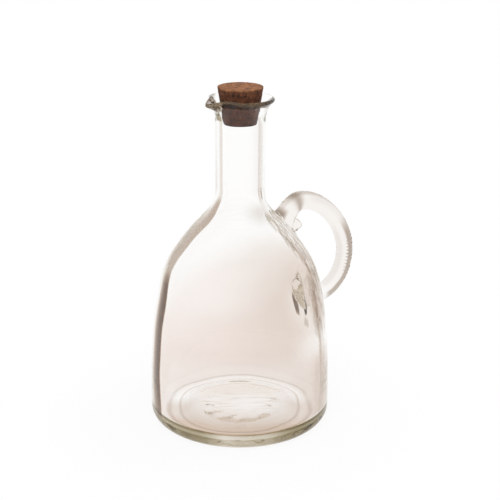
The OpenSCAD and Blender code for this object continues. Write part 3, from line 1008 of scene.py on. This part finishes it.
def glass_material(settings):
    """Clear glass: nearly white at the neck, warm in the body, olive where it is thick. The warm body and the
    dark edges, rim, handle bands, neck lines and floor rings are painted shade, and the pale patch and the
    glints on the floor are painted highlights.
    """
    look, neck_z = settings.glass, settings.vessel.neck_z / MM
    crease_z = neck_z + settings.vessel.neck_l / MM
    made = bpy.data.materials.new("clear_glass")
    start = fresh_wire(made)
    g = GlassPlace(start, look)
    tint, ring_shade = floor_tint(g, look, body_tint(g, look))
    tint = (g.rod * (1 - g.share.step(0.78, 0.9) * 0.7)).mix(tint, look.rod)
    # painted shade: the dark band along the outline of the wall
    shade = (g.entering * wall_shade(g) * 2).stain(tint, look.edge)
    # the olive of the thick heel, with painted shade off its mid front and in lines round it
    shade = (g.entering * heel_tint_and_shade(g) * 2).stain(shade, look.heel)
    # painted shade: the rings and streaks on the floor
    shade = ring_shade.stain(shade, look.edge)
    # painted shade of the handle, the lip and the neck, with the handle's own marks and the pulled streaks
    drawn = rod_streaks_and_shade(g) + lip_shade(g, crease_z) + neck_shade(g, neck_z, crease_z) + pulled_depth(g)
    shade = (g.entering * drawn * 2 + g.streaks * (0.9 + g.streak * 1.8)).stain(shade, look.streak)
    bump = start.node("ShaderNodeBump", {}, {"Strength": 0.12, "Distance": 1 * MM,
                                             "Height": g.streak * 0.5 + g.cloud})
    surface = start.node("ShaderNodeBsdfPrincipled", {}, {
        "Base Color": shade, "Roughness": 0.0, "IOR": look.ior, "Transmission Weight": 1.0,
        "Specular Tint": (0.5, 0.5, 0.5, 1.0), "Normal": bump})
    depth = start.node("ShaderNodeVolumeAbsorption", {}, {"Color": (*look.depth, 1.0),
                                                          "Density": look.density})
    start.end("ShaderNodeOutputMaterial", Surface=surface, Volume=depth)
    return made


def cork_material(settings):
    """Agglomerated cork: angular granules in several browns, dark bark, pits and pale cut faces, with painted
    shade that makes the side darker than the top and darker still low down.
    """
    look = settings.cork
    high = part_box("cork")[1][2]
    made = bpy.data.materials.new("pressed_cork")
    start = fresh_wire(made)
    place = start.node("ShaderNodeTexCoord", out="Object")
    z = place.split()[2]
    granules = {"Vector": place, "Scale": 1 / look.granule, "Randomness": 1.0}
    cells = start.node("ShaderNodeTexVoronoi", {"feature": "F1"}, granules, out="Color")
    walls = start.node("ShaderNodeTexVoronoi", {"feature": "DISTANCE_TO_EDGE"}, granules)
    wobble = place.noise(500.0, 3.0)
    fine = place.noise(1600.0, 4.0, Roughness=0.65)
    shade_of, bark_of, _ = cells.split()
    grain = shade_of * 0.55 + fine * 0.35 + place.noise(130.0, 2.0) * 0.3 - 0.1
    seam = walls.fall(0.0, 0.09) * (0.45 + wobble * 0.5)
    top = z.step(high - 1.6 * MM, high - 0.5 * MM)
    bark = bark_of.step(0.84, 0.92) * (1 - top * 0.55)
    # painted shade: the side darker than the top, darker still low down inside the throat
    pressed = z.fall(high - 11 * MM, high - 6 * MM)
    plain = top.mix(pressed.mix(look.side, look.low_side_shade), look.top)
    grainy = grain.step(0.15, 0.85).mix(plain.scaled(0.62), plain.scaled(1.35))
    flecked = bark.mix(grainy, look.dark)
    shade = (seam * (0.8 - top * 0.35)).mix(flecked, look.dark)
    bump = start.node("ShaderNodeBump", {}, {"Strength": 0.55, "Distance": 0.35 * MM,
                                             "Height": fine * 0.7 - seam * 0.8 + shade_of * 0.25})
    surface = start.node("ShaderNodeBsdfPrincipled", {}, {
        "Base Color": shade, "Roughness": 0.82 + (fine - 0.5) * 0.2, "Normal": bump,
        "Specular IOR Level": 0.25})
    start.end("ShaderNodeOutputMaterial", Surface=surface)
    return made


def floor_material(look):
    """A pale floor that keeps a soft shadow and shows white to the camera and through glass."""
    made = bpy.data.materials.new("pale_floor")
    start = fresh_wire(made)
    place = start.node("ShaderNodeTexCoord", out="Object")
    away = start.node("ShaderNodeVectorMath", {"operation": "LENGTH"}, {0: place}, out="Value")
    glow_share = 0.92 + away.step(70 * MM, 150 * MM) * 0.08
    lit = start.node("ShaderNodeBsdfDiffuse", {}, {"Color": (*look.floor, 1.0)})
    glow = start.node("ShaderNodeEmission", {}, {"Color": (1, 1, 1, 1), "Strength": 1.0})
    mixed = start.node("ShaderNodeMixShader", {}, {0: seen_directly(start) * glow_share, 1: lit, 2: glow})
    start.end("ShaderNodeOutputMaterial", Surface=mixed)
    return made


# ------------------------------------------------------------------ operators


def softbox(name, place, size, power):
    """A square lamp that is aimed at the middle of the bottle and shows in nothing."""
    lamp = bpy.data.lights.new(name, "AREA")
    lamp.size, lamp.energy = size, power
    made = shown(name, lamp)
    made.location = place
    aim = Vector((0, 0, 120 * MM))
    made.rotation_euler = (aim - made.location).to_track_quat("-Z", "Y").to_euler()
    made.visible_glossy = False
    made.visible_transmission = False


class OILBOTTLE_OT_glass(bpy.types.Operator):
    """Blow the vessel, pull its handle and fuse them into one piece of glass"""

    bl_idname = "oilbottle.glass"
    bl_label = "Glass"

    def execute(self, context):
        settings = context.scene.oil_bottle
        material = glass_material(settings)
        shape = VesselShape(settings)
        bottle = build_vessel(shape)
        bottle.data.materials.append(material)
        bottle = fuse(bottle, build_rod(shape, material))
        bottle = fuse(bottle, build_curl(shape))
        reach, half_width = settings.vessel.neck_d / 2, 14 * MM

        def near_handle(point):
            return point.x > reach and abs(point.y) < half_width

        melt_joints(bottle, near_handle, rounds=6)
        bottle.name = bottle.data.name = "bottle_glass"
        bottle.data.materials.clear()
        bottle.data.materials.append(material)
        bottle.data.shade_smooth()
        fewest_faces = 1000
        if len(bottle.data.polygons) < fewest_faces:
            raise RuntimeError("the glass could not be fused")
        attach(bottle, "bottle")
        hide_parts("vessel", "handle")
        return {"FINISHED"}


class OILBOTTLE_OT_cork(bpy.types.Operator):
    """Press the cork out of granules"""

    bl_idname = "oilbottle.cork"
    bl_label = "Cork"

    def execute(self, context):
        settings = context.scene.oil_bottle
        cork = build_cork(settings)
        cork.data.materials.clear()
        cork.data.materials.append(cork_material(settings))
        cork.data.shade_smooth()
        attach(cork, "stopper")
        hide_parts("cork")
        return {"FINISHED"}


class OILBOTTLE_OT_stage(bpy.types.Operator):
    """Set the pale floor, the soft light and the camera"""

    bl_idname = "oilbottle.stage"
    bl_label = "Stage"

    def execute(self, context):
        scene = context.scene
        look = scene.oil_bottle.stage
        far = 3.0
        corners = [(-far, -far, 0), (far, -far, 0), (far, far, 0), (-far, far, 0)]
        floor = mesh_object("floor", corners, [(0, 1, 2, 3)])
        floor.data.materials.append(floor_material(look))
        self.sky(scene, look)
        softbox("key_softbox", (-0.5, -0.55, 0.9), 0.6, 5.0)
        softbox("fill_softbox", (0.75, -0.2, 0.6), 0.5, 2.0)
        self.camera(scene, look)
        scene.view_settings.view_transform = "Standard"
        for kind in ("max_bounces", "glossy_bounces", "transmission_bounces"):
            setattr(scene.cycles, kind, look.bounces)
        return {"FINISHED"}

    def sky(self, scene, look):
        scene.world = bpy.data.worlds.new("soft_sky")
        start = fresh_wire(scene.world)
        strength = seen_directly(start) * (1 - look.world) + look.world
        sky = start.node("ShaderNodeBackground", {}, {"Color": (1, 1, 1, 1), "Strength": strength})
        start.end("ShaderNodeOutputWorld", Surface=sky)

    def camera(self, scene, look):
        right = Vector((math.cos(look.azimuth), math.sin(look.azimuth), 0))
        ahead = Vector((-math.sin(look.azimuth), math.cos(look.azimuth), 0))
        up = Vector((0, 0, 1))
        place = right * look.side_step - ahead * look.distance + up * look.height
        view = ahead * math.cos(look.pitch) - up * math.sin(look.pitch)
        top = ahead * math.sin(look.pitch) + up * math.cos(look.pitch)
        side = right * math.cos(look.roll) + top * math.sin(look.roll)
        top = top * math.cos(look.roll) - right * math.sin(look.roll)
        lens = bpy.data.cameras.new("camera")
        lens.sensor_width = 36
        lens.lens = look.lens / MM
        lens.clip_start, lens.clip_end = 0.01, 20
        made = shown("camera", lens)
        made.matrix_world = Matrix.LocRotScale(place, Matrix((side, top, -view)).transposed(), None)
        scene.camera = made


class OILBOTTLE_PT_panel(bpy.types.Panel):
    """Sizes, colours and steps of the glass oil bottle"""

    bl_idname = "OILBOTTLE_PT_panel"
    bl_label = "Glass oil bottle"
    bl_space_type = "VIEW_3D"
    bl_region_type = "UI"
    bl_category = "Oil bottle"

    def draw(self, context):
        settings = context.scene.oil_bottle
        for step in STEPS:
            self.layout.operator(step.bl_idname)
        for group in ("vessel", "lip", "handle", "cork", "glass", "stage"):
            box = self.layout.box()
            box.label(text=group.capitalize())
            values = getattr(settings, group)
            for name in values.__annotations__:
                box.prop(values, name)


STEPS = (OILBOTTLE_OT_glass, OILBOTTLE_OT_cork, OILBOTTLE_OT_stage)
CLASSES = (VesselSizes, LipSizes, HandleSizes, CorkSizes, GlassLook, StageLook, BottleSettings,
           *STEPS, OILBOTTLE_PT_panel)


def register():
    for kind in CLASSES:
        bpy.utils.register_class(kind)
    bpy.types.Scene.oil_bottle = PointerProperty(type=BottleSettings)


def unregister():
    del bpy.types.Scene.oil_bottle
    for kind in reversed(CLASSES):
        bpy.utils.unregister_class(kind)


def main():
    register()
    bpy.ops.oilbottle.glass()
    bpy.ops.oilbottle.cork()
    bpy.ops.oilbottle.stage()


if __name__ == "__main__":
    main()
